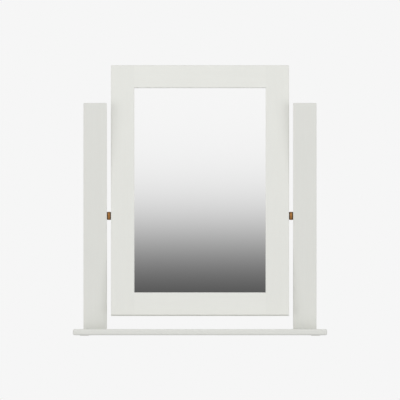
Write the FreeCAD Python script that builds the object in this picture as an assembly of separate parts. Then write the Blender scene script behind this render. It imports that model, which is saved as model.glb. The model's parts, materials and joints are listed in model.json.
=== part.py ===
import FreeCAD, Part
import math
import os

# A swing mirror that stands on a dressing table: a base board, two posts, and a
# framed mirror that tilts on a pivot in each post. Lengths are in millimetres.
# X is to the right, Y is away from the viewer and Z is up. The origin is on the
# table, under the middle of the base board.

# Base board and its felt pads
base_overhang = 21.0  # from the outer face of a post to the end of the board
base_depth = 150.0
base_thickness = 12.0
base_edge_radius = 3.5
pad_diameter = 18.0
pad_thickness = 1.0
pad_inset = 14.0  # from the edge of the board to the edge of a pad

# Posts, each held by a screw from beneath and a dowel that stops it turning
post_width = 46.0
post_depth = 22.0
post_length = 444.5
post_arris = 1.0
post_screw_diameter = 4.5
post_screw_head_diameter = 9.0
post_screw_length = 50.0
post_screw_share = 0.3  # place across the width of a post, from its inner face
post_dowel_share = 0.7
post_dowel_length = 30.0
post_dowel_base_share = 0.65  # part of the board's thickness that the dowel enters

# Mirror frame
frame_width = 350.0
frame_height = 493.0
frame_thickness = 22.0
stile_width = 46.0
rail_width = 44.5
frame_arris = 1.0
frame_lip = 5.5  # thickness of the wood in front of the glass
frame_base_gap = 26.0  # from the base board up to the upright frame
pivot_above_frame_bottom = 196.5
rest_tilt_deg = 5.0  # the top of the frame leans back at rest
dowel_diameter = 8.0
frame_dowel_length = 40.0
frame_dowel_shares = (0.17, 0.45)  # places across a rail, from its outer edge

# Glass and back board in a rebate of two steps
glass_thickness = 4.0
glass_edge_chamfer = 0.5
glass_overlap = 8.0  # depth of the first step behind the lip
board_thickness = 3.0
board_ledge = 10.0  # depth of the second step, which the board is screwed to
panel_clearance = 1.0  # round the edges of the glass and of the board
tape_width = 10.0
tape_thickness = 1.5
tape_inset = 3.0  # from the edge of the glass
board_screw_diameter = 3.0
board_screw_length = 10.0
board_screw_head_diameter = 6.0
board_screw_head_height = 2.0
board_screw_shares = (0.15, 0.85)  # places up the board, along both stiles

# Pivot: a bolt turns in a bush in the post and is screwed into the frame
pivot_gap = 8.0  # from a post to the frame
bolt_diameter = 6.0
bolt_head_diameter = 10.0
bolt_head_height = 6.0
bolt_past_insert = 0.8
socket_across_flats = 5.0
socket_depth = 3.0
socket_sides = 6
head_pocket_depth = 12.0
pocket_clearance = 1.0  # round the flat washer
flat_washer_diameter = 12.0
flat_washer_thickness = 1.6
spring_washer_width = 2.2
spring_washer_thickness = 1.6
spring_washer_slit = 1.2
spring_washer_slit_deg = 25.0
bush_wall = 2.0
collar_diameter = 16.0
friction_washer_thickness = 1.2
friction_washer_inset = 0.4  # how far its edge stays inside the collar's edge
insert_length = 14.0
insert_wall = 2.0

# Fits, all on the radius
bearing_clearance = 0.05
washer_clearance = 0.2
wood_fit = 0.05
hole_spare = 1.5  # past the end of a dowel, a screw or an insert

# Overrun of a cut past the face that it opens
overrun = 1.0
# Reach within which an edge counts as lying on a face
reach = 0.01

Vector = FreeCAD.Vector
X_AXIS = Vector(1, 0, 0)
Y_AXIS = Vector(0, 1, 0)
Z_AXIS = Vector(0, 0, 1)
ORIGIN = Vector(0, 0, 0)
FULL_TURN_DEG = 360.0
HALF_TURN_DEG = 180.0

# Places that several pieces share
board_bottom_z = pad_thickness
board_top_z = board_bottom_z + base_thickness
post_inner_x = frame_width / 2 + pivot_gap
post_outer_x = post_inner_x + post_width
base_width = 2 * (post_outer_x + base_overhang)
pivot_z = board_top_z + frame_base_gap + pivot_above_frame_bottom
PIVOT = Vector(0, 0, pivot_z)
frame_bottom_z = pivot_z - pivot_above_frame_bottom
frame_top_z = frame_bottom_z + frame_height
frame_middle_z = (frame_bottom_z + frame_top_z) / 2
frame_front_y = -frame_thickness / 2
frame_back_y = frame_thickness / 2
glass_front_y = frame_front_y + frame_lip
glass_back_y = glass_front_y + glass_thickness
board_front_y = glass_back_y + tape_thickness
board_back_y = board_front_y + board_thickness
opening_width = frame_width - 2 * stile_width
opening_height = frame_height - 2 * rail_width
pocket_floor_x = post_outer_x - head_pocket_depth
bush_bore = bolt_diameter + 2 * bearing_clearance
bush_diameter = bush_bore + 2 * bush_wall
insert_bore = bolt_diameter + 2 * bearing_clearance
insert_diameter = insert_bore + 2 * insert_wall
washer_bore = bolt_diameter + 2 * washer_clearance


def block(low, high):
    """Box between two opposite corners."""
    size = high - low
    return Part.makeBox(size.x, size.y, size.z, low)


def panel(width, height, front_y, back_y):
    """Upright box centred on the frame, of a given width and height."""
    low = Vector(-width / 2, front_y, frame_middle_z - height / 2)
    high = Vector(width / 2, back_y, frame_middle_z + height / 2)
    return block(low, high)


def pin(start, along, diameter, length):
    """Plain cylinder: a dowel, a pad, or what a drill cuts away."""
    return Part.makeCylinder(diameter / 2, length, start, along)


def lathe(outline, start, along):
    """Turned solid. The outline holds (distance along, radius) points."""
    outwards = X_AXIS if abs(along.y) > reach else Y_AXIS
    points = [start + along * distance + outwards * radius for distance, radius in outline]
    face = Part.Face(Part.makePolygon(points + points[:1]))
    return face.revolve(start, along, FULL_TURN_DEG)


def ring(inner_diameter, outer_diameter, thickness, start, along):
    """Flat washer or plain sleeve."""
    inner = inner_diameter / 2
    outer = outer_diameter / 2
    outline = [(0, inner), (0, outer), (thickness, outer), (thickness, inner)]
    return lathe(outline, start, along)


def turn_round(shape):
    """The same piece on the other side, turned half round about the upright axis."""
    return shape.rotated(ORIGIN, Z_AXIS, HALF_TURN_DEG)


def tilted(shape):
    """A piece of the frame, leaned back about the pivot."""
    return shape.rotated(PIVOT, X_AXIS, -rest_tilt_deg)


# Base board, with all its edges rounded
base = block(
    Vector(-base_width / 2, -base_depth / 2, board_bottom_z),
    Vector(base_width / 2, base_depth / 2, board_top_z),
)
base = base.makeFillet(base_edge_radius, base.Edges)

# Felt pads, one near each corner
pad_x = base_width / 2 - pad_inset - pad_diameter / 2
pad_y = base_depth / 2 - pad_inset - pad_diameter / 2
pads = []
for x in (-pad_x, pad_x):
    for y in (-pad_y, pad_y):
        pads.append(pin(Vector(x, y, 0), Z_AXIS, pad_diameter, pad_thickness))

# Right post: arrises everywhere but at its foot, then the hole for the bush and
# the pocket for the bolt head
post = block(
    Vector(post_inner_x, -post_depth / 2, board_top_z),
    Vector(post_outer_x, post_depth / 2, board_top_z + post_length),
)
post = post.makeChamfer(post_arris, [e for e in post.Edges if e.BoundBox.ZMax > board_top_z + reach])
bush_hole = pin(
    Vector(post_inner_x - overrun, 0, pivot_z),
    X_AXIS,
    bush_diameter + 2 * wood_fit,
    post_width - head_pocket_depth + 2 * overrun,
)
head_pocket = pin(
    Vector(pocket_floor_x, 0, pivot_z),
    X_AXIS,
    flat_washer_diameter + 2 * pocket_clearance,
    head_pocket_depth + overrun,
)

# Screw and dowel that join the base board to the right post
head_radius = post_screw_head_diameter / 2
shank_radius = post_screw_diameter / 2
head_height = head_radius - shank_radius
screw_outline = [
    (0, 0),
    (0, head_radius),
    (head_height, shank_radius),
    (post_screw_length, shank_radius),
    (post_screw_length, 0),
]
screw_hole_outline = [
    (-overrun, 0),
    (-overrun, head_radius + overrun + wood_fit),
    (head_height, shank_radius + wood_fit),
    (post_screw_length + hole_spare, shank_radius + wood_fit),
    (post_screw_length + hole_spare, 0),
]
screw_start = Vector(post_inner_x + post_width * post_screw_share, 0, board_bottom_z)
right_screw = lathe(screw_outline, screw_start, Z_AXIS)
screw_hole = lathe(screw_hole_outline, screw_start, Z_AXIS)
dowel_start = Vector(
    post_inner_x + post_width * post_dowel_share,
    0,
    board_top_z - base_thickness * post_dowel_base_share,
)
right_dowel = pin(dowel_start, Z_AXIS, dowel_diameter, post_dowel_length)
dowel_hole = pin(
    dowel_start, Z_AXIS, dowel_diameter + 2 * wood_fit, post_dowel_length + hole_spare
)

base_holes = [screw_hole, dowel_hole]
base = base.cut(base_holes + [turn_round(hole) for hole in base_holes])
right_post = post.cut(base_holes + [bush_hole, head_pocket])

# Frame as one ring: arrises, then the two steps of the rebate cut from the back
whole_frame = panel(frame_width, frame_height, frame_front_y, frame_back_y)
whole_frame = whole_frame.makeChamfer(frame_arris, whole_frame.Edges)
whole_frame = whole_frame.cut(
    panel(opening_width, opening_height, frame_front_y - overrun, frame_back_y + overrun)
)
sight_edges = []
for edge in whole_frame.Edges:
    box = edge.BoundBox
    if box.YMax < frame_front_y + reach and abs(box.Center.x) < opening_width / 2 + reach:
        if abs(box.Center.z - frame_middle_z) < opening_height / 2 + reach:
            sight_edges.append(edge)
whole_frame = whole_frame.makeChamfer(frame_arris, sight_edges)

glass_step = 2 * glass_overlap
board_step = 2 * (glass_overlap + board_ledge)
whole_frame = whole_frame.cut(
    [
        panel(
            opening_width + glass_step,
            opening_height + glass_step,
            glass_front_y,
            frame_back_y + overrun,
        ),
        panel(
            opening_width + board_step,
            opening_height + board_step,
            board_front_y,
            frame_back_y + overrun,
        ),
    ]
)

# Dowels across the corner joints, in the full thickness outside the rebate
frame_dowel_y = (frame_front_y + frame_back_y) / 2
frame_dowels = []
frame_dowel_holes = []
for joint_x in (-opening_width / 2, opening_width / 2):
    for share in frame_dowel_shares:
        for z in (frame_bottom_z + rail_width * share, frame_top_z - rail_width * share):
            start = Vector(joint_x - frame_dowel_length / 2, frame_dowel_y, z)
            frame_dowels.append(pin(start, X_AXIS, dowel_diameter, frame_dowel_length))
            frame_dowel_holes.append(
                pin(
                    start - X_AXIS * hole_spare,
                    X_AXIS,
                    dowel_diameter + 2 * wood_fit,
                    frame_dowel_length + 2 * hole_spare,
                )
            )

# Screws that hold the back board on its ledge
board_width = opening_width + board_step - 2 * panel_clearance
board_height = opening_height + board_step - 2 * panel_clearance
screw_margin = (board_ledge - panel_clearance) / 2
screw_x = board_width / 2 - screw_margin
screw_places = []
for share in board_screw_shares:
    for x in (-screw_x, screw_x):
        screw_places.append((x, board_height * share - board_height / 2))

board_head_radius = board_screw_head_diameter / 2
board_shank_radius = board_screw_diameter / 2
board_screw_outline = [
    (-board_screw_head_height, 0),
    (-board_screw_head_height, board_head_radius),
    (0, board_head_radius),
    (0, board_shank_radius),
    (board_screw_length, board_shank_radius),
    (board_screw_length, 0),
]
board_screws = []
board_screw_holes = []
for x, z in screw_places:
    start = Vector(x, board_back_y, frame_middle_z + z)
    board_screws.append(lathe(board_screw_outline, start, -Y_AXIS))
    board_screw_holes.append(
        pin(
            start,
            -Y_AXIS,
            board_screw_diameter + 2 * wood_fit,
            board_screw_length + hole_spare,
        )
    )

# Holes for the threaded inserts, in from the outer face of each stile
insert_hole_depth = insert_length + bolt_past_insert + hole_spare
insert_hole = pin(
    Vector(frame_width / 2 - insert_hole_depth, 0, pivot_z),
    X_AXIS,
    insert_diameter + 2 * wood_fit,
    insert_hole_depth + overrun,
)

# The ring is split into two full-height stiles with the rails between them
drilled_frame = whole_frame.cut(
    frame_dowel_holes + board_screw_holes + [insert_hole, turn_round(insert_hole)]
)
left_stile = drilled_frame.common(
    block(
        Vector(-frame_width / 2, frame_front_y, frame_bottom_z),
        Vector(-opening_width / 2, frame_back_y, frame_top_z),
    )
)
right_stile = drilled_frame.common(
    block(
        Vector(opening_width / 2, frame_front_y, frame_bottom_z),
        Vector(frame_width / 2, frame_back_y, frame_top_z),
    )
)
bottom_rail = drilled_frame.common(
    block(
        Vector(-opening_width / 2, frame_front_y, frame_bottom_z),
        Vector(opening_width / 2, frame_back_y, frame_middle_z),
    )
)
top_rail = drilled_frame.common(
    block(
        Vector(-opening_width / 2, frame_front_y, frame_middle_z),
        Vector(opening_width / 2, frame_back_y, frame_top_z),
    )
)

# Glass, foam tape behind its edges, and the back board
glass_width = opening_width + glass_step - 2 * panel_clearance
glass_height = opening_height + glass_step - 2 * panel_clearance
glass = panel(glass_width, glass_height, glass_front_y, glass_back_y)
glass = glass.makeChamfer(glass_edge_chamfer, glass.Edges)

tape_x = glass_width / 2 - tape_inset
tape_z = glass_height / 2 - tape_inset
tape_strips = []
for low_x in (-tape_x, tape_x - tape_width):
    low = Vector(low_x, glass_back_y, frame_middle_z - tape_z)
    high = Vector(low_x + tape_width, board_front_y, frame_middle_z + tape_z)
    tape_strips.append(block(low, high))
for low_z in (-tape_z, tape_z - tape_width):
    low = Vector(tape_width - tape_x, glass_back_y, frame_middle_z + low_z)
    high = Vector(tape_x - tape_width, board_front_y, frame_middle_z + low_z + tape_width)
    tape_strips.append(block(low, high))

back_board = panel(board_width, board_height, board_front_y, board_back_y)
back_board = back_board.cut(board_screw_holes)

# Right pivot, piece by piece from the frame out to the bolt head
collar_length = pivot_gap - 2 * friction_washer_thickness
friction_washer_diameter = collar_diameter - 2 * friction_washer_inset
frame_face = Vector(frame_width / 2, 0, pivot_z)
collar_start = frame_face + X_AXIS * friction_washer_thickness
post_washer_start = collar_start + X_AXIS * collar_length
post_face = Vector(post_inner_x, 0, pivot_z)
pocket_floor = Vector(pocket_floor_x, 0, pivot_z)
spring_washer_start = pocket_floor + X_AXIS * flat_washer_thickness
head_seat = spring_washer_start + X_AXIS * spring_washer_thickness

frame_friction_washer = ring(
    washer_bore, friction_washer_diameter, friction_washer_thickness, frame_face, X_AXIS
)
post_friction_washer = ring(
    washer_bore, friction_washer_diameter, friction_washer_thickness, post_washer_start, X_AXIS
)
collar = ring(washer_bore, collar_diameter, collar_length, collar_start, X_AXIS)
bush = ring(bush_bore, bush_diameter, post_width - head_pocket_depth, post_face, X_AXIS)
flat_washer = ring(
    washer_bore, flat_washer_diameter, flat_washer_thickness, pocket_floor, X_AXIS
)

# The spring washer is split by a slanting slit at its top
spring_washer_diameter = washer_bore + 2 * spring_washer_width
spring_washer = ring(
    washer_bore,
    spring_washer_diameter,
    spring_washer_thickness,
    spring_washer_start,
    X_AXIS,
)
slit_middle = spring_washer_start + X_AXIS * (spring_washer_thickness / 2)
slit = block(
    slit_middle - X_AXIS * spring_washer_diameter - Y_AXIS * (spring_washer_slit / 2),
    slit_middle
    + X_AXIS * spring_washer_diameter
    + Y_AXIS * (spring_washer_slit / 2)
    + Z_AXIS * spring_washer_diameter,
)
slit.rotate(slit_middle, Z_AXIS, spring_washer_slit_deg)
spring_washer = spring_washer.cut(slit)

# Bolt, from the end of its thread to its socket head
bolt_end_x = frame_width / 2 - insert_length - bolt_past_insert
bolt_end = Vector(bolt_end_x, 0, pivot_z)
bolt_length = head_seat.x - bolt_end_x
bolt_radius = bolt_diameter / 2
bolt_head_radius = bolt_head_diameter / 2
bolt_top = bolt_length + bolt_head_height
bolt = lathe(
    [
        (0, 0),
        (0, bolt_radius),
        (bolt_length, bolt_radius),
        (bolt_length, bolt_head_radius),
        (bolt_top, bolt_head_radius),
        (bolt_top, 0),
    ],
    bolt_end,
    X_AXIS,
)
socket_side_deg = FULL_TURN_DEG / socket_sides
socket_corner = socket_across_flats / 2 / math.cos(math.radians(socket_side_deg / 2))
socket_floor = bolt_end + X_AXIS * (bolt_top - socket_depth)
socket_points = []
for side in range(socket_sides + 1):
    turn = FreeCAD.Rotation(X_AXIS, socket_side_deg * side)
    socket_points.append(socket_floor + turn.multVec(Z_AXIS * socket_corner))
socket = Part.Face(Part.makePolygon(socket_points)).extrude(X_AXIS * (socket_depth + overrun))
bolt = bolt.cut(socket)

# Threaded insert, flush with the outer face of the stile
insert = ring(
    insert_bore, insert_diameter, insert_length, frame_face - X_AXIS * insert_length, X_AXIS
)

# Every node, placed. The pieces of the frame lean back about the pivot.
nodes = {
    "base_board": base,
    "foot_pads": Part.makeCompound(pads),
    "left_post": turn_round(right_post),
    "right_post": right_post,
    "post_screws": Part.makeCompound([right_screw, turn_round(right_screw)]),
    "post_dowels": Part.makeCompound([right_dowel, turn_round(right_dowel)]),
    "left_stile": tilted(left_stile),
    "right_stile": tilted(right_stile),
    "top_rail": tilted(top_rail),
    "bottom_rail": tilted(bottom_rail),
    "frame_dowels": tilted(Part.makeCompound(frame_dowels)),
    "mirror_glass": tilted(glass),
    "glazing_tape": tilted(Part.makeCompound(tape_strips)),
    "back_board": tilted(back_board),
    "back_board_screws": tilted(Part.makeCompound(board_screws)),
}
pivot_on_stand = {
    "spring_washer": spring_washer,
    "flat_washer": flat_washer,
    "post_bush": bush,
    "post_friction_washer": post_friction_washer,
    "pivot_collar": collar,
    "frame_friction_washer": frame_friction_washer,
}
pivot_on_frame = {"pivot_bolt": bolt, "threaded_insert": insert}
for name, shape in pivot_on_stand.items():
    nodes["right_" + name] = shape
    nodes["left_" + name] = turn_round(shape)
for name, shape in pivot_on_frame.items():
    nodes["right_" + name] = tilted(shape)
    nodes["left_" + name] = tilted(turn_round(shape))

os.makedirs("parts", exist_ok=True)
for name, shape in nodes.items():
    shape.exportStep("parts/" + name + ".step")
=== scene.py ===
# %% [markdown]
# A swing mirror for a dressing table
#
# The object is a plain framed mirror that tilts between two posts on a flat base
# board. Its wooden pieces are already modelled as solids with true sizes, so this
# script loads them as a fixed frame and gives them their looks: paint, silver,
# brass, screws and light. The frame comes first, because every piece below is
# placed by what it finds there and no size is typed twice.

# %% Load the frame
import json
import math

import bmesh
import bpy
from mathutils import Matrix, Vector, noise


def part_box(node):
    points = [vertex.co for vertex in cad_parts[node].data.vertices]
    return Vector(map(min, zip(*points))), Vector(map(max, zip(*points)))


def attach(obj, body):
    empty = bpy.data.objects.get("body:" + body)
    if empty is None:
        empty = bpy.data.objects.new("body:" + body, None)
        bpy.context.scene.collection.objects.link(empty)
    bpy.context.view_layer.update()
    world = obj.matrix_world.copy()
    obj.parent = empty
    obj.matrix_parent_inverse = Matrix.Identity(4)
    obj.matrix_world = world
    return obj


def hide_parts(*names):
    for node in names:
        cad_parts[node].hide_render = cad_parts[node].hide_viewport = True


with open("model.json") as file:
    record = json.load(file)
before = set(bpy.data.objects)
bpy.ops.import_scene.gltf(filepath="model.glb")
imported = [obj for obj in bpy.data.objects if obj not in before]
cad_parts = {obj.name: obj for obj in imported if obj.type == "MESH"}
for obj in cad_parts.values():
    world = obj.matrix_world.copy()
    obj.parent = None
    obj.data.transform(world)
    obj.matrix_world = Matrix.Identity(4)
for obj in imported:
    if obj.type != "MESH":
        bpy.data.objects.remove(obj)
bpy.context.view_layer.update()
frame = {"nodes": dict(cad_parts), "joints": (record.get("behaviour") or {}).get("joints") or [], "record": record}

nodes = frame["nodes"]

# %% [markdown]
# Where the mirror stands
#
# The stand is square to the axes, but the mirror leans back a little, as it does
# when someone has just used it. The lean could be copied from the CAD file as a
# number. Reading it from the glass keeps the two from drifting apart: the largest
# face of the glass gives its direction, and the joint gives the pivot.

# %% Lean of the glass and place of the pivot
facing_forward = [face for face in nodes["mirror_glass"].data.polygons if face.normal.y < 0]
glass_front = max(facing_forward, key=lambda face: face.area).normal
lean = math.atan2(glass_front.z, -glass_front.y)
pivot = Vector(frame["joints"][0]["pos_m"])
print("lean in degrees:", round(math.degrees(lean), 2), "pivot:", tuple(pivot))

# %% [markdown]
# Shader maths as Python
#
# A Blender material is a graph of nodes, and a long one is hard to read as calls
# that link sockets. Here one small class wraps an output socket, and Python's own
# operators add the Math nodes, so a mask can be written as 1 - grain * 0.2. Every
# other node comes from one method, which takes the node's type, its settings and
# what goes into its sockets.

# %% A socket that can be calculated with
class Wire:
    """An output socket. Arithmetic with it adds Math nodes."""

    def __init__(self, graph, socket):
        self.graph = graph
        self.socket = socket

    def maths(self, operation, first, second):
        return self.graph.node("ShaderNodeMath", {"operation": operation}, {0: first, 1: second})

    def __add__(self, other):
        return self.maths("ADD", self, other)

    def __sub__(self, other):
        return self.maths("SUBTRACT", self, other)

    def __rsub__(self, other):
        return self.maths("SUBTRACT", other, self)

    def __mul__(self, other):
        return self.maths("MULTIPLY", self, other)

    def __truediv__(self, other):
        return self.maths("DIVIDE", self, other)

    def __rtruediv__(self, other):
        return self.maths("DIVIDE", other, self)

    def __pow__(self, other):
        return self.maths("POWER", self, other)

    def __rpow__(self, other):
        return self.maths("POWER", other, self)

    def __abs__(self):
        return self.maths("ABSOLUTE", self, 0.0)

    __radd__ = __add__
    __rmul__ = __mul__


# %% A graph that nodes are added to
class Graph:
    """A node tree, with one way to add any node."""

    def __init__(self, tree):
        self.tree = tree

    def feed(self, socket, value):
        if isinstance(value, Wire):
            self.tree.links.new(value.socket, socket)
        else:
            socket.default_value = value

    def node(self, kind, settings=None, sockets=None, output=0):
        made = self.tree.nodes.new(kind)
        for name, value in (settings or {}).items():
            setattr(made, name, value)
        for name, value in (sockets or {}).items():
            self.feed(made.inputs[name], value)
        return Wire(self, made.outputs[output]) if made.outputs else None

    def mix(self, factor, first, second):
        """Colour between first and second."""
        settings = {"data_type": "RGBA"}
        return self.node("ShaderNodeMix", settings, {0: factor, 6: first, 7: second}, output=2)

    def coordinate(self, axis):
        """One coordinate of the piece in metres: X, Y or Z."""
        place = self.node("ShaderNodeTexCoord", output="Object")
        return self.node("ShaderNodeSeparateXYZ", None, {0: place}, output=axis)

    def noise(self, grains, detail=2.0, roughness=0.5, distortion=0.0):
        """Noise with so many grains to the metre on each axis."""
        place = self.node("ShaderNodeTexCoord", output="Object")
        stretch = {"operation": "MULTIPLY"}
        stretched = self.node("ShaderNodeVectorMath", stretch, {0: place, 1: grains})
        sockets = {"Vector": stretched, "Scale": 1.0, "Detail": detail}
        sockets.update({"Roughness": roughness, "Distortion": distortion})
        return self.node("ShaderNodeTexNoise", None, sockets)

    def between(self, value, start, end):
        """0 up to start, 1 from end on, and even steps between."""
        sockets = {"Value": value, "From Min": start, "From Max": end}
        return self.node("ShaderNodeMapRange", None, sockets)

    def bump(self, height, depth):
        """Normal for a height map that is depth metres deep from 0 to 1."""
        sockets = {"Height": height, "Distance": depth, "Strength": 1.0}
        return self.node("ShaderNodeBump", None, sockets)


# %% A material with one principled shader
class Finish(Graph):
    """A surface finish: its material, and the sockets of its shader."""

    def __init__(self, name):
        self.material = bpy.data.materials.new(name)
        self.material.use_nodes = True
        super().__init__(self.material.node_tree)
        self.shader = self.tree.nodes["Principled BSDF"]

    def surface(self, **sockets):
        """Sets shader sockets; base_color stands for the socket Base Color, and so on."""
        for name, value in sockets.items():
            title = name.replace("_", " ").title().replace("Ior", "IOR")
            self.feed(self.shader.inputs[title], value)

    def show(self, shader):
        """Makes another shader the one that the surface shows."""
        self.feed(self.tree.nodes["Material Output"].inputs["Surface"], shader)


record_colours = {m["slot"]: m["base_color"] for m in frame["record"]["materials"]}


def tint(slot, strength=1.0):
    """The record's colour for a slot, made lighter or darker, with its alpha."""
    return [channel * strength for channel in record_colours[slot][:3]] + [1.0]


print("slots with a colour:", sorted(record_colours))

# %% [markdown]
# Off-white satin paint
#
# The stand and frame are sprayed with off-white satin paint over close-grained
# wood. It could be one flat colour, but real paint catches light a little
# unevenly: spray leaves a fine orange peel, and the grain and pores beneath show as
# long shallow lines. All are made from noise. Grain and pores are noise squeezed
# across the board and drawn out along it, so the finish needs to know which way
# each board was cut. The frame is painted a shade lighter than the stand, and its rails a
# touch lighter than its stiles. That is painted light and shade: the frame leans back
# towards the light and the posts shade the stiles, so each kind of board has its own
# strength of the colour.

# %% Paint over a board
mm = 0.001
GRAIN = {"upright": (160.0, 160.0, 7.0), "level": (7.0, 160.0, 160.0)}
PORES_PER_GRAIN = 7
PEEL = 700.0
CLOUD = 9.0
PAINT_RANGE = 0.06
PAINT_RELIEF = 0.12 * mm


def even(grains):
    """The same number of grains to the metre on every axis."""
    return [grains] * 3


def satin_paint(name, along, strength):
    """Paint for boards whose grain runs along; its strength lightens or darkens the colour as painted light and
    shade.
    """
    paint = Finish(name)
    grain = paint.noise(along, detail=5.0, roughness=0.6)
    pores = paint.noise([PORES_PER_GRAIN * count for count in along], detail=3.0, roughness=0.6)
    peel = paint.noise(even(PEEL), detail=1.0)
    cloud = paint.noise(even(CLOUD), detail=2.0)
    shade = cloud * 0.3 + grain * 0.3 + pores * 0.4
    darkest = tint("painted_wood", (1 - PAINT_RANGE) * strength)
    lightest = tint("painted_wood", (1 + PAINT_RANGE) * strength)
    paint.surface(
        base_color=paint.mix(shade, darkest, lightest),
        roughness=peel * 0.06 + pores * 0.12 + 0.31,
        normal=paint.bump(grain * 0.4 + pores * 0.3 + peel * 0.3, depth=PAINT_RELIEF),
        specular_ior_level=0.45,
    )
    return paint.material


# %% One paint for each kind of board
# These strengths are painted light and shade: the frame is lighter for the light it catches as it leans back, and
# its stiles darker than its rails where the posts shade them.
PAINTED_SHADE_STRENGTHS = {
    ("stand", "upright"): 0.975,
    ("stand", "level"): 0.975,
    ("mirror", "upright"): 1.037,
    ("mirror", "level"): 1.056,
}

shaded_paints = {}
for (body, direction), strength in PAINTED_SHADE_STRENGTHS.items():
    name = body + "_shaded_paint_" + direction
    shaded_paints[body, direction] = satin_paint(name, GRAIN[direction], strength)
print("paints:", [paint.name for paint in shaded_paints.values()])

# %% [markdown]
# Silvered glass
#
# A mirror is clear glass with silver on its back. It could be modelled as both,
# with light passing through the glass twice. A single metal surface gives the
# same reflection for far less work. The faint green of float glass goes into its
# colour, and its roughness has the soft wipe marks that cleaning leaves.

# %% Mirror
WIPE_MARKS = (14.0, 14.0, 5.0)

silvered = Finish("silvered_glass")
wipe = silvered.noise(WIPE_MARKS, detail=3.0)
silvered.surface(
    base_color=silvered.mix(wipe, tint("mirror", 0.995), tint("mirror", 1.005)),
    metallic=1.0,
    roughness=wipe * 0.012 + 0.006,
)
print("mirror colour:", [round(c, 3) for c in tint("mirror")])

# %% [markdown]
# Brass, fibre and zinc
#
# The pivots show as small brass collars between dark fibre washers. Brass that was
# turned on a lathe has rings round its axis. A Wave texture could draw them, but too
# evenly for tool marks. The axis here is X, so noise that changes fast along X and
# hardly at all across it gives rings that differ. Age leaves brown patina in patches,
# and the collar is painted darker towards its ends, as painted shade where it meets the
# washers. The steel is zinc plated, with the cloudy bloom that plating has.

# %% Brass
RINGS = (5200.0, 40.0, 40.0)
END_SHADE_START = 0.35

collar_low, collar_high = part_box("right_pivot_collar")
collar_middle = (collar_low.x + collar_high.x) / 2
collar_half = (collar_high.x - collar_low.x) / 2

aged_brass = Finish("aged_brass")
rings = aged_brass.noise(RINGS, detail=2.0)
patches = aged_brass.noise(even(420.0), detail=4.0)
from_middle = abs(abs(aged_brass.coordinate("X")) - collar_middle)
# Painted shade: the collar darkens towards both ends, where the washers shade it; the patches are its patina.
shaded_ends = aged_brass.between(from_middle, collar_half * END_SHADE_START, collar_half)
patina_and_end_shade = patches ** 1.5 * 0.8 + shaded_ends * 0.6
aged_brass.surface(
    base_color=aged_brass.mix(patina_and_end_shade, tint("brass", 1.27), tint("brass", 0.3)),
    metallic=1.0,
    roughness=patches * 0.2 + rings * 0.08 + 0.45,
    normal=aged_brass.bump(rings, depth=0.03 * mm),
)
print("brass:", aged_brass.material.name, "collar from x", round(collar_low.x, 4))

# %% Fibre and zinc
fibre = Finish("vulcanised_fibre")
flecks = fibre.noise(even(1500.0), detail=3.0)
fibre.surface(
    base_color=fibre.mix(flecks, tint("fibre", 0.2), tint("fibre", 0.6)),
    roughness=flecks * 0.2 + 0.6,
    specular_ior_level=0.15,
    normal=fibre.bump(flecks, depth=0.05 * mm),
)

zinc = Finish("zinc_plate")
bloom = zinc.noise(even(260.0), detail=4.0)
zinc.surface(
    base_color=zinc.mix(bloom, tint("zinc", 0.85), tint("zinc", 1.12)),
    metallic=1.0,
    roughness=bloom * 0.2 + 0.22,
    normal=zinc.bump(bloom, depth=0.02 * mm),
)
print("washers and steel:", fibre.material.name, zinc.material.name)

# %% [markdown]
# What is hidden inside and behind
#
# The back is closed with smooth brown hardboard, which is wood fibre pressed into a
# mat with no direction. Its fibres are too fine to draw one by one. Noise that is bent
# by more noise gives the mat, and a finer one its mottle. Inside are beech dowels,
# nylon bushes, white foam tape and felt pads. They are seen only from behind, from
# beneath or when the mirror is taken apart, yet each gets its own texture, because the
# part may be opened.

# %% Hardboard
MAT_FROM, MAT_TO = 0.28, 0.72

hardboard = Finish("smooth_hardboard")
mottle = hardboard.noise(even(900.0), detail=5.0, roughness=0.7)
bent = hardboard.noise(even(260.0), detail=6.0, roughness=0.65, distortion=2.5)
matted = hardboard.between(bent, MAT_FROM, MAT_TO)
board_shade = mottle * 0.4 + matted * 0.6
hardboard.surface(
    base_color=hardboard.mix(board_shade, tint("hardboard", 0.6), tint("hardboard", 1.45)),
    roughness=mottle * 0.2 + 0.42,
    normal=hardboard.bump(board_shade, depth=0.06 * mm),
)
print("back:", hardboard.material.name)

# %% Beech and nylon
RAYS = (30.0, 700.0, 700.0)

beech = Finish("bare_beech")
rays = beech.noise(RAYS, detail=3.0)
beech.surface(
    base_color=beech.mix(rays, tint("beech", 0.8), tint("beech", 1.15)),
    roughness=rays * 0.15 + 0.55,
    normal=beech.bump(rays, depth=0.05 * mm),
)

nylon = Finish("natural_nylon")
flow = nylon.noise(even(300.0), detail=2.0)
nylon.surface(
    base_color=nylon.mix(flow, tint("nylon", 0.95), tint("nylon", 1.04)),
    roughness=flow * 0.1 + 0.35,
)
print("dowels and bushes:", beech.material.name, nylon.material.name)

# %% Foam and felt
foam = Finish("foam_tape")
cells = foam.noise(even(2400.0), detail=2.0)
foam.surface(
    base_color=foam.mix(cells, tint("foam", 0.85), tint("foam", 1.05)),
    roughness=cells * 0.1 + 0.85,
    normal=foam.bump(cells, depth=0.1 * mm),
)

felt = Finish("pressed_felt")
fibres = felt.noise(even(1800.0), detail=4.0, roughness=0.7)
felt.surface(
    base_color=felt.mix(fibres, tint("felt", 0.95), tint("felt", 1.3)),
    roughness=fibres * 0.1 + 0.88,
    normal=felt.bump(fibres, depth=0.15 * mm),
    sheen_weight=0.25,
)
print("tape and pads:", foam.material.name, felt.material.name)

# %% [markdown]
# Dress the solids
#
# Each solid keeps its shape and only changes its material. The materials could be
# given out by name, one line for each node, but the record already says which slot a
# node belongs to, so one table of finishes serves them all. Painted boards are the
# exception: their grain runs along the board, and the longer side of a board's box
# shows which way that is.

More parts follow.
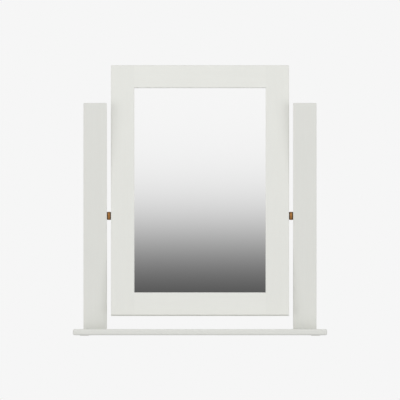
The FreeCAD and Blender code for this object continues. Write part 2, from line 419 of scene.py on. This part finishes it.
# %% Give every node its finish
finishes = {
    "mirror": silvered.material,
    "brass": aged_brass.material,
    "fibre": fibre.material,
    "zinc": zinc.material,
    "hardboard": hardboard.material,
    "beech": beech.material,
    "nylon": nylon.material,
    "foam": foam.material,
    "felt": felt.material,
}

slot_of = {subpart["node"]: subpart["material_slot"] for subpart in frame["record"]["subparts"]}
body_of = {}
for body, members in frame["record"]["behaviour"]["bodies"].items():
    for node in members:
        body_of[node] = body


def finish_for(node):
    """The material of a node's slot, or for a board the paint, with its painted shade, of its body and direction.
    """
    low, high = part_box(node)
    direction = "upright" if high.z - low.z > high.x - low.x else "level"
    return finishes.get(slot_of[node]) or shaded_paints[body_of[node], direction]


for node in slot_of:
    nodes[node].data.materials.clear()
    nodes[node].data.materials.append(finish_for(node))
print("dressed:", len(slot_of))

# %% [markdown]
# Turning screws on a lathe
#
# The solids show each screw as a plain pin. A real one has a thread and a cross
# recess. A modifier can make a thread from a profile, but a thread is also just a
# lathe shape whose radius rises and falls with height and angle together, and that
# makes one closed mesh. The recess is then cut with a Boolean, as a punch would
# press it in.

# %% Lathe
def turned(name, rows, sides):
    """Closed mesh round Z. A row is a height and a radius, or a radius for each angle.

    Rows that start and end at radius 0 make a solid; others join up to make a ring.
    """
    made = bmesh.new()
    loops = []
    for height, radius in rows:
        if radius == 0:
            loops.append([made.verts.new((0, 0, height))])
            continue
        loop = []
        for side in range(sides):
            angle = math.tau * side / sides
            reach = radius(angle) if callable(radius) else radius
            loop.append(made.verts.new((reach * math.cos(angle), reach * math.sin(angle), height)))
        loops.append(loop)
    if len(loops[0]) > 1:
        loops.append(loops[0])
    for lower, upper in zip(loops, loops[1:]):
        for side in range(sides):
            after = (side + 1) % sides
            corners = [lower[side % len(lower)], lower[after % len(lower)]]
            corners += [upper[after % len(upper)], upper[side % len(upper)]]
            made.faces.new(list(dict.fromkeys(corners)))
    bmesh.ops.recalc_face_normals(made, faces=made.faces)
    mesh = bpy.data.meshes.new(name)
    made.to_mesh(mesh)
    made.free()
    return mesh


# %% Thread
def thread(start, end, core, crest, pitch, steps=6):
    """Rows of a thread from start to end, for the lathe, with so many steps to a turn."""
    count = max(1, round(abs(end - start) / pitch * steps))
    rows = []
    for step in range(count + 1):
        height = start + (end - start) * step / count

        def radius(angle, height=height):
            turn = (height / pitch - angle / math.tau) % 1.0
            return core + (crest - core) * (1 - abs(2 * turn - 1))

        rows.append((height, radius))
    return rows


# %% Punch
def punch(name, outline, top, depth, taper):
    """Tapered prism that cuts a recess from the height top down by depth."""
    made = bmesh.new()
    wide = [made.verts.new((x, y, top + depth)) for x, y in outline]
    mouth = [made.verts.new((x, y, top)) for x, y in outline]
    floor = [made.verts.new((x * taper, y * taper, top - depth)) for x, y in outline]
    made.faces.new(wide)
    made.faces.new(floor)
    for upper, lower in ((wide, mouth), (mouth, floor)):
        for side in range(len(outline)):
            after = (side + 1) % len(outline)
            made.faces.new([upper[side], upper[after], lower[after], lower[side]])
    bmesh.ops.recalc_face_normals(made, faces=made.faces)
    mesh = bpy.data.meshes.new(name)
    made.to_mesh(mesh)
    made.free()
    return mesh


def cross_outline(length, width):
    """Outline of a cross with arms of that overall length and width."""
    corners = []
    for quarter in range(4):
        turn = Matrix.Rotation(quarter * math.pi / 2, 2)
        for x, y in ((length, -width), (length, width), (width, width)):
            corners.append(tuple(turn @ Vector((x / 2, y / 2))))
    return corners


# %% Cut
def carved(mesh, cutter_mesh):
    """The mesh with the cutter taken away."""
    body = bpy.data.objects.new("body_to_carve", mesh)
    cutter = bpy.data.objects.new("cutter", cutter_mesh)
    for piece in (body, cutter):
        bpy.context.scene.collection.objects.link(piece)
    boolean = body.modifiers.new("recess", "BOOLEAN")
    boolean.operation = "DIFFERENCE"
    boolean.solver = "EXACT"
    boolean.object = cutter
    graph = bpy.context.evaluated_depsgraph_get()
    result = bpy.data.meshes.new_from_object(body.evaluated_get(graph))
    for piece in (body, cutter):
        bpy.data.objects.remove(piece)
    return result


# %% [markdown]
# Where each fastener sits
#
# Screws of one kind share a node, and their places could be typed in from the CAD
# file. Reading them from the node's mesh keeps them right if the solids change. The
# mesh is copied, its split corners are welded, and what hangs together is one screw.
# Before it is measured, the copy is turned so that the screws point along Z. Otherwise
# the box of a slanting screw would say little about its axis. Real screws stop at any
# angle, so each gets a twist of its own, from seeded random numbers.

# %% Find the separate solids of a node
WELD = 0.01 * mm


def solids_of(node, axes=Matrix.Identity(4)):
    """Lowest and highest corners, along turned axes, of each separate solid in a node."""
    copy = bmesh.new()
    copy.from_mesh(nodes[node].data)
    bmesh.ops.transform(copy, matrix=axes.inverted(), verts=copy.verts)
    bmesh.ops.remove_doubles(copy, verts=copy.verts, dist=WELD)
    unseen = set(copy.verts)
    boxes = []
    while unseen:
        group = [unseen.pop()]
        for vert in group:
            for edge in vert.link_edges:
                other = edge.other_vert(vert)
                if other in unseen:
                    unseen.remove(other)
                    group.append(other)
        low = Vector([min(v.co[axis] for v in group) for axis in range(3)])
        high = Vector([max(v.co[axis] for v in group) for axis in range(3)])
        boxes.append((low, high))
    copy.free()
    return sorted(boxes, key=lambda box: tuple(box[0]))


# %% Put fasteners where the solids are
SMOOTH_BELOW = math.radians(32)
SEED = 7
noise.seed_set(SEED)


def driven(boxes, axes, seat_above_tip):
    """Places for screws in boxes along turned axes, each twisted as it happened to stop."""
    places = []
    for low, high in boxes:
        seat = Vector(((low.x + high.x) / 2, (low.y + high.y) / 2, low.z + seat_above_tip))
        twist = Matrix.Rotation(noise.random() * math.pi, 4, "Z")
        places.append(axes @ Matrix.Translation(seat) @ twist)
    return places


def stand_for(name, mesh, places, node):
    """One piece with a copy of the mesh at each place, in place of a node."""
    made = bmesh.new()
    for place in places:
        before = len(made.verts)
        made.from_mesh(mesh)
        made.verts.ensure_lookup_table()
        bmesh.ops.transform(made, matrix=place, verts=made.verts[before:])
    joined = bpy.data.meshes.new(name)
    made.to_mesh(joined)
    made.free()
    joined.shade_smooth()
    joined.set_sharp_from_angle(angle=SMOOTH_BELOW)
    joined.materials.append(finish_for(node))
    piece = bpy.data.objects.new(name, joined)
    bpy.context.scene.collection.objects.link(piece)
    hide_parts(node)
    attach(piece, body_of[node])


# %% [markdown]
# Screws in the back board
#
# Pan head screws hold the hardboard against its ledge. Seen from behind, they are
# the first thing that says how the mirror comes apart. Their heads are low domes
# with a cross recess, and a coarse thread runs to the point. The head could be a
# squashed sphere set on a shank. As more rows on the same lathe, dome, shank and
# thread come out as one closed mesh, with no join to hide.

# %% Pan head screw
SCREW_SIDES = 32
CROSS_TAPER = 0.45
PAN_HEIGHT = 2.0 * mm
PAN_CORE, PAN_CREST, PAN_PITCH = 1.0 * mm, 1.5 * mm, 1.3 * mm
PAN_THREAD_START = 0.2 * mm
PAN_POINT = 2.5 * mm
PAN_CROSS_LENGTH, PAN_CROSS_WIDTH, PAN_CROSS_DEPTH = 3.4 * mm, 0.9 * mm, 1.3 * mm
DOME_STEPS = 5
DOME_FOOT = 0.35

to_the_back = Matrix.Rotation(-lean - math.pi / 2, 4, "X")
pan_boxes = solids_of("back_board_screws", to_the_back)
low, high = pan_boxes[0]
pan_head = (high.x - low.x) / 2
pan_length = high.z - low.z - PAN_HEIGHT

pan_rows = [(PAN_HEIGHT, 0)]
for step in range(1, DOME_STEPS + 1):
    swing = math.pi / 2 * step / DOME_STEPS
    dome = DOME_FOOT + (1 - DOME_FOOT) * math.cos(swing)
    pan_rows.append((PAN_HEIGHT * dome, pan_head * math.sin(swing)))
pan_rows += [(0.0, pan_head), (0.0, PAN_CORE)]
pan_rows += thread(-PAN_THREAD_START, PAN_POINT - pan_length, PAN_CORE, PAN_CREST, PAN_PITCH)
pan_rows += [(-pan_length, 0)]
pan_cross = cross_outline(PAN_CROSS_LENGTH, PAN_CROSS_WIDTH)
pan_screw = carved(
    turned("pan_screw", pan_rows, SCREW_SIDES),
    punch("pan_punch", pan_cross, PAN_HEIGHT, PAN_CROSS_DEPTH, CROSS_TAPER),
)
print("pan head screw, length in mm:", round(pan_length / mm, 2), "faces:", len(pan_screw.polygons))

# %% Pan head screws in their places
pan_places = driven(pan_boxes, to_the_back, pan_length)
stand_for("board_screws", pan_screw, pan_places, "back_board_screws")
print("pan head screws:", len(pan_places))

# %% [markdown]
# Screws under the base board
#
# A countersunk screw comes up through the board into each post, beside a dowel. Its
# head lies flush with the underside, where only a cross recess and a flat ring show.
# The pan head screw could be stretched to fit, but this one is a wood screw, with a
# plain shank and a coarser thread, so it gets rows of its own and shares the tools.

# %% Countersunk screw
SUNK_CORE, SUNK_CREST, SUNK_PITCH = 1.6 * mm, 2.25 * mm, 2.2 * mm
SUNK_RIM = 0.2 * mm
SUNK_SHANK, SUNK_RUNOUT = 14.0 * mm, 0.5 * mm
SUNK_POINT = 4.0 * mm
SUNK_CROSS_LENGTH, SUNK_CROSS_WIDTH, SUNK_CROSS_DEPTH = 5.2 * mm, 1.2 * mm, 2.0 * mm

head_down = Matrix.Rotation(math.pi, 4, "X")
sunk_boxes = solids_of("post_screws", head_down)
low, high = sunk_boxes[0]
sunk_head = (high.x - low.x) / 2
sunk_length = high.z - low.z
sunk_thread_start = SUNK_SHANK + 2 * SUNK_RUNOUT

sunk_rows = [(0.0, 0), (0.0, sunk_head - SUNK_RIM), (-SUNK_RIM, sunk_head)]
sunk_rows += [(SUNK_CREST - sunk_head, SUNK_CREST), (-SUNK_SHANK, SUNK_CREST)]
sunk_rows += [(-SUNK_SHANK - SUNK_RUNOUT, SUNK_CORE)]
sunk_rows += thread(-sunk_thread_start, SUNK_POINT - sunk_length, SUNK_CORE, SUNK_CREST, SUNK_PITCH)
sunk_rows += [(-sunk_length, 0)]
sunk_cross = cross_outline(SUNK_CROSS_LENGTH, SUNK_CROSS_WIDTH)
sunk_screw = carved(
    turned("sunk_screw", sunk_rows, SCREW_SIDES),
    punch("sunk_punch", sunk_cross, 0.0, SUNK_CROSS_DEPTH, CROSS_TAPER),
)
print("countersunk screw, length in mm:", round(sunk_length / mm, 2), "faces:", len(sunk_screw.polygons))

# %% Countersunk screws in their places
sunk_places = driven(sunk_boxes, head_down, sunk_length)
stand_for("post_fixing_screws", sunk_screw, sunk_places, "post_screws")
print("countersunk screws:", len(sunk_places))

# %% [markdown]
# Pivot bolts
#
# Each pivot bolt has a knurled cylinder head with a six-sided socket, down in the
# pocket of its post, so that a key can tighten it and set how stiffly the mirror
# turns. The knurl could be a bump in the zinc, but its outline would stay smooth. A
# ripple in the radius is real shape, and the same lathe makes it.

# %% Outline of a socket head bolt
BOLT_CORE, BOLT_CREST, BOLT_PITCH = 2.5 * mm, 3.0 * mm, 1.0 * mm
BOLT_THREADED = 36.0 * mm
BOLT_RUNOUT, BOLT_THREAD_START = 0.4 * mm, 0.5 * mm
BOLT_POINT = 0.8 * mm
BOLT_THREAD_STEPS = 4
HEAD_HEIGHT = 6.0 * mm
HEAD_CHAMFER = 0.7 * mm
HEAD_RIM = 0.6 * mm
KNURL_MARGIN = 0.9 * mm
KNURL_STEP = 0.15 * mm
KNURL_DEPTH = 0.12 * mm
KNURLS = 24
EASED = 0.3 * mm


def bolt_rows(head, length):
    """Rows of a bolt for the lathe, from its head of that radius, above 0, to its point."""

    def knurl(angle):
        return head - KNURL_DEPTH * abs(math.sin(angle * KNURLS))

    plain = length - BOLT_THREADED
    thread_ends = (-plain - BOLT_THREAD_START, BOLT_POINT - length)
    rows = [(HEAD_HEIGHT, 0), (HEAD_HEIGHT, head - HEAD_CHAMFER)]
    rows += [(HEAD_HEIGHT - HEAD_RIM, head - KNURL_STEP), (HEAD_HEIGHT - KNURL_MARGIN, knurl)]
    rows += [(KNURL_MARGIN, knurl), (HEAD_RIM, head - KNURL_STEP), (0.0, head - EASED)]
    rows += [(0.0, BOLT_CREST), (-plain, BOLT_CREST), (-plain - BOLT_RUNOUT, BOLT_CORE)]
    rows += thread(*thread_ends, BOLT_CORE, BOLT_CREST, BOLT_PITCH, BOLT_THREAD_STEPS)
    rows += [(-length, BOLT_CORE - EASED), (-length, 0)]
    return rows


def hexagon(across):
    """Outline of a six-sided hole that is so wide across its flats."""
    corner = across / 2 / math.cos(math.pi / 6)
    turns = [step * math.pi / 3 for step in range(6)]
    return [(corner * math.cos(turn), corner * math.sin(turn)) for turn in turns]


# %% Socket head bolts
BOLT_SIDES = 96
KEY_ACROSS, KEY_DEPTH, KEY_TAPER = 5.0 * mm, 3.0 * mm, 0.98

for side, outward in (("left", -1), ("right", 1)):
    node = side + "_pivot_bolt"
    low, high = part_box(node)
    bolt_head = (high.z - low.z) / 2
    bolt_length = high.x - low.x - HEAD_HEIGHT
    blank = turned(node + "_blank", bolt_rows(bolt_head, bolt_length), BOLT_SIDES)
    key = punch("key", hexagon(KEY_ACROSS), HEAD_HEIGHT, KEY_DEPTH, KEY_TAPER)
    bolt = carved(blank, key)
    outer_end = high.x if outward > 0 else low.x
    seat = Vector((outer_end - outward * HEAD_HEIGHT, pivot.y, pivot.z))
    place = Matrix.Translation(seat) @ Matrix.Rotation(outward * math.pi / 2, 4, "Y")
    stand_for(side + "_socket_bolt", bolt, [place], node)
    print(side, "bolt length in mm:", round(bolt_length / mm, 2), "faces:", len(bolt.polygons))

# %% [markdown]
# Brass collars
#
# A collar keeps the frame clear of the post. On the real mirror it is turned from bar
# and its ends are eased, so that no sharp edge cuts the washers. A Bevel modifier on
# the solid would do, but it would also round the bore. The lathe makes the outline
# directly: along the outside, round each end and back through the bore.

# %% Collars
COLLAR_SIDES = 64
EASE = 0.4 * mm
EASE_STEPS = 4


def eased_outline(length, bore, outside):
    """Rows of a ring with a quarter round at both outer corners."""
    end = [(0.0, bore)]
    for step in range(EASE_STEPS + 1):
        swing = math.pi / 2 * step / EASE_STEPS
        end.append((EASE * (1 - math.cos(swing)), outside - EASE * (1 - math.sin(swing))))
    return end + [(length - height, radius) for height, radius in reversed(end)]


for side in ("left", "right"):
    node = side + "_pivot_collar"
    low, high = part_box(node)
    reaches = [math.hypot(v.co.y - pivot.y, v.co.z - pivot.z) for v in nodes[node].data.vertices]
    outline = eased_outline(high.x - low.x, min(reaches), max(reaches))
    ring = turned(node + "_ring", outline, COLLAR_SIDES)
    seat = Matrix.Translation((low.x, pivot.y, pivot.z))
    along_x = Matrix.Rotation(math.pi / 2, 4, "Y")
    stand_for(side + "_brass_collar", ring, [seat @ along_x], node)
    print(side, "collar bore in mm:", round(2 * min(reaches) / mm, 2), "faces:", len(ring.polygons))

# %% [markdown]
# Felt pads
#
# Felt discs keep the board from scratching the table. Hair particles could give them
# fuzz, but on a disc one millimetre high it would hardly show. What does show is the
# edge: cut felt has a soft one and is never quite round, so the lathe's radius wanders
# a little with the angle.

# %% Felt discs
FELT_SIDES = 64
FELT_WANDER = 0.015
FELT_BUMPS = 3
FELT_OUTLINE = ((0.0, 0.5), (0.0, 0.93), (0.15, 0.98), (0.5, 1.0), (0.85, 0.99), (1.0, 0.96))

pad_boxes = solids_of("foot_pads")
pad_low, pad_high = pad_boxes[0]
pad_radius = (pad_high.x - pad_low.x) / 2
pad_height = pad_high.z - pad_low.z


def fuzzy(share):
    """A radius, for the lathe, that wanders round a share of the pad's own."""

    def radius(angle):
        spot = (FELT_BUMPS * math.cos(angle), FELT_BUMPS * math.sin(angle), share)
        return pad_radius * share * (1 - FELT_WANDER + FELT_WANDER * noise.noise(spot))

    return radius


pad_rows = [(0.0, 0)]
pad_rows += [(pad_height * up, fuzzy(out)) for up, out in FELT_OUTLINE]
pad_rows += [(pad_height, 0)]
pad_mesh = turned("felt_disc", pad_rows, FELT_SIDES)
pad_places = []
for low, high in pad_boxes:
    pad_places.append(Matrix.Translation(((low.x + high.x) / 2, (low.y + high.y) / 2, low.z)))
stand_for("felt_discs", pad_mesh, pad_places, "foot_pads")
print("felt discs:", len(pad_places), "radius in mm:", round(pad_radius / mm, 2))

# %% [markdown]
# Floor and background
#
# The picture has a plain pale background with no horizon. The world gives that pale
# colour. Light Path lets it show the camera, and shiny things, one brightness, while
# the light that it sends to the paint is set apart, so the background can be pale
# without washing out the object. Straight up from below it sends a little less light,
# as a table would.
#
# A large floor takes the shadow that shows from other angles. A white floor under so
# little light would look dull, so it glows a little. It is clear from beneath, so that
# the underside can be seen, and it neither sends light to the object nor keeps any
# from it, because the light from below is already the world's.

# %% World
BACKGROUND = 0.9216
AMBIENT = 0.6
TABLE_EDGE = -0.3
TABLE_LOSS = 0.15

world = bpy.data.worlds.new("pale_studio")
bpy.context.scene.world = world
world.use_nodes = True
air = Graph(world.node_tree)
air.tree.nodes.clear()


def grey(level):
    return [level, level, level, 1.0]


line_of_sight = air.node("ShaderNodeTexCoord", output="Generated")
upwards = air.node("ShaderNodeSeparateXYZ", None, {0: line_of_sight}, output="Z")
above_table = air.between(upwards, -1.0, TABLE_EDGE)
ambient = air.mix(above_table, grey(AMBIENT - TABLE_LOSS), grey(AMBIENT))
lit = air.node("ShaderNodeBackground", None, {"Color": ambient, "Strength": 1.0})
shown = air.node("ShaderNodeBackground", None, {"Color": grey(BACKGROUND), "Strength": 1.0})

seen = air.node("ShaderNodeLightPath", output="Is Camera Ray")
for ray in ("Is Glossy Ray", "Is Transmission Ray"):
    seen = seen.maths("MAXIMUM", seen, air.node("ShaderNodeLightPath", output=ray))
both = air.node("ShaderNodeMixShader", None, {0: seen, 1: lit, 2: shown})
air.node("ShaderNodeOutputWorld", None, {"Surface": both})
print("background:", BACKGROUND, "ambient:", AMBIENT)

# %% Floor
FLOOR_SIZE = 40.0
FLOOR_COLOUR = 0.84
FLOOR_GLOW = 0.28
FLOOR_DROP = 0.2 * mm


def flat_card(name, width, height, place):
    """Flat rectangle, facing up before place turns it."""
    made = bmesh.new()
    bmesh.ops.create_grid(made, x_segments=1, y_segments=1, size=0.5)
    bmesh.ops.scale(made, vec=(width, height, 1.0), verts=made.verts)
    bmesh.ops.transform(made, matrix=place, verts=made.verts)
    mesh = bpy.data.meshes.new(name)
    made.to_mesh(mesh)
    made.free()
    card = bpy.data.objects.new(name, mesh)
    bpy.context.scene.collection.objects.link(card)
    return card


floor = flat_card("floor", FLOOR_SIZE, FLOOR_SIZE, Matrix.Translation((0, 0, -FLOOR_DROP)))
floor_finish = Finish("pale_floor")
floor_speck = floor_finish.noise(even(40.0), detail=2.0)
floor_finish.surface(
    base_color=grey(FLOOR_COLOUR),
    roughness=floor_speck * 0.1 + 0.8,
    specular_ior_level=0.1,
    emission_color=grey(1.0),
    emission_strength=FLOOR_GLOW,
)
above = Wire(floor_finish, floor_finish.shader.outputs["BSDF"])
below = floor_finish.node("ShaderNodeBsdfTransparent")
is_below = floor_finish.node("ShaderNodeNewGeometry", output="Backfacing")
two_sided = floor_finish.node("ShaderNodeMixShader", None, {0: is_below, 1: above, 2: below})
floor_finish.show(two_sided)
floor.data.materials.append(floor_finish.material)
floor.visible_diffuse = False
floor.visible_shadow = False
print("floor:", FLOOR_SIZE, "m")

# %% [markdown]
# What the mirror sees
#
# A mirror has no colour of its own, so what it shows has to stand in front of it. In
# the picture it fades from white at the top to dark grey at the bottom. A fade in the
# mirror's own material would slide with it and spoil it in any other room. Instead a
# tall card stands in front, out of the camera's sight, with the fade on it. The glass
# leans back, so a level view leaves it upwards at twice the lean, and that gives the
# height on the card at which the fade has to start.
#
# The fade is an S curve, as the soft edge of a light leaves on a wall. Further down
# the card a second one makes it bright again, so that the glass isn't black when it
# is seen from above. The greys in the picture are neutral, but the glass is faintly
# green, so the card's white has a trace of the opposite colour.

# %% Card with a fade
CARD_AWAY = 1.6
CARD_WIDTH, CARD_HEIGHT = 8.0, 6.0
CARD_FOOT = -1.0
FADE_STEEPNESS = 7.6
FADE_MIDDLE = 0.286
LOWER_MIDDLE = -0.59

opening_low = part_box("bottom_rail")[1].z
opening_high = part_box("top_rail")[0].z
fade_foot = opening_low + CARD_AWAY * math.tan(2 * lean)


def s_curve(value):
    """Rises from 0 to 1 and is half way up where the value is 0."""
    return 1 / (1 + math.e ** (value * -FADE_STEEPNESS))


fade = Finish("fade")
share = (fade.coordinate("Z") - fade_foot) / (opening_high - opening_low)
brightness = s_curve(share - FADE_MIDDLE) + s_curve(LOWER_MIDDLE - share)
glass_colour = record_colours["mirror"]
card_white = [sum(glass_colour) / 3 / channel for channel in glass_colour] + [1.0]
card_colour = fade.mix(brightness, grey(0.0), card_white)
fade.show(fade.node("ShaderNodeEmission", None, {"Color": card_colour, "Strength": 1.0}))

card_middle = Matrix.Translation((0, -CARD_AWAY, CARD_FOOT + CARD_HEIGHT / 2))
upright = Matrix.Rotation(math.pi / 2, 4, "X")
fade_card = flat_card("fade_card", CARD_WIDTH, CARD_HEIGHT, card_middle @ upright)
fade_card.data.materials.append(fade.material)
fade_card.visible_camera = False
fade_card.visible_diffuse = False
fade_card.visible_transmission = False
fade_card.visible_shadow = False
print("the fade starts at", round(fade_foot, 3), "m on the card")

# %% [markdown]
# Light
#
# The picture was taken in even light, as in a white tent: the fronts of the boards
# are all about alike, and only the faces that look into the narrow gaps are darker.
# Most of the light is therefore the world's. Two wide soft boxes at the sides light the
# fronts and leave the gaps in shade, a third above and in front makes the frame, which
# leans back towards it, a little brighter than the posts, and a fourth lights the back.
# Small lamps would draw hard shadow edges, and boxes that stand near would leave bright
# patches on the floor.

# %% Soft boxes
def soft_box(name, place, size, power):
    """Area light that shines on the pivots from a place."""
    light = bpy.data.lights.new(name, "AREA")
    light.shape = "RECTANGLE"
    light.size, light.size_y = size
    light.energy = power
    box = bpy.data.objects.new(name, light)
    aim = pivot - place
    turn = aim.to_track_quat("-Z", "Y").to_matrix().to_4x4()
    box.matrix_world = Matrix.Translation(place) @ turn
    bpy.context.scene.collection.objects.link(box)
    print(name, "distance in metres:", round(aim.length, 2), "watts:", power)


SIDE_AWAY = 12.0
SIDE_ANGLE = math.radians(52)
SIDE_HEIGHT = 0.13
SIDE_SIZE = (6.0, 9.0)
SIDE_POWER = 342.0
TOP_PLACE = Vector((0.0, -1.5, 1.8))
TOP_SIZE = (2.0, 1.0)
TOP_POWER = 6.0
BACK_PLACE = Vector((0.0, 12.0, 0.8))
BACK_SIZE = (10.3, 6.9)
BACK_POWER = 188.0

to_front = -SIDE_AWAY * math.cos(SIDE_ANGLE)
to_side = SIDE_AWAY * math.sin(SIDE_ANGLE)
soft_box("left_box", Vector((-to_side, to_front, SIDE_HEIGHT)), SIDE_SIZE, SIDE_POWER)
soft_box("right_box", Vector((to_side, to_front, SIDE_HEIGHT)), SIDE_SIZE, SIDE_POWER)
soft_box("top_box", TOP_PLACE, TOP_SIZE, TOP_POWER)
soft_box("back_box", BACK_PLACE, BACK_SIZE, BACK_POWER)

# %% [markdown]
# Camera
#
# The posts are as wide apart at the top as at the bottom and the base shows no top
# face, so the picture was taken level from far away. A perspective camera could be
# moved very far off, but an orthographic one gives just that view with no distance to
# guess. The base board's width in the picture sets the scale, and its foot sets the
# height.

# %% Camera
IMAGE_SIZE = 400
BASE_WIDTH_PIXELS = 254.4
BASE_FOOT_ROW = 335.2
CAMERA_AWAY = 3.0

board_low, board_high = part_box("base_board")
metres_per_pixel = (board_high.x - board_low.x) / BASE_WIDTH_PIXELS
camera = bpy.data.cameras.new("camera")
camera.type = "ORTHO"
camera.ortho_scale = IMAGE_SIZE * metres_per_pixel
camera_object = bpy.data.objects.new("camera", camera)
camera_height = board_low.z + (BASE_FOOT_ROW - IMAGE_SIZE / 2) * metres_per_pixel
camera_object.location = (0.0, -CAMERA_AWAY, camera_height)
camera_object.rotation_euler = (math.pi / 2, 0.0, 0.0)
bpy.context.scene.collection.objects.link(camera_object)
bpy.context.scene.camera = camera_object
bpy.context.scene.view_settings.view_transform = "Standard"
print("picture height in metres:", round(camera.ortho_scale, 4))
print("camera height in metres:", round(camera_height, 4))
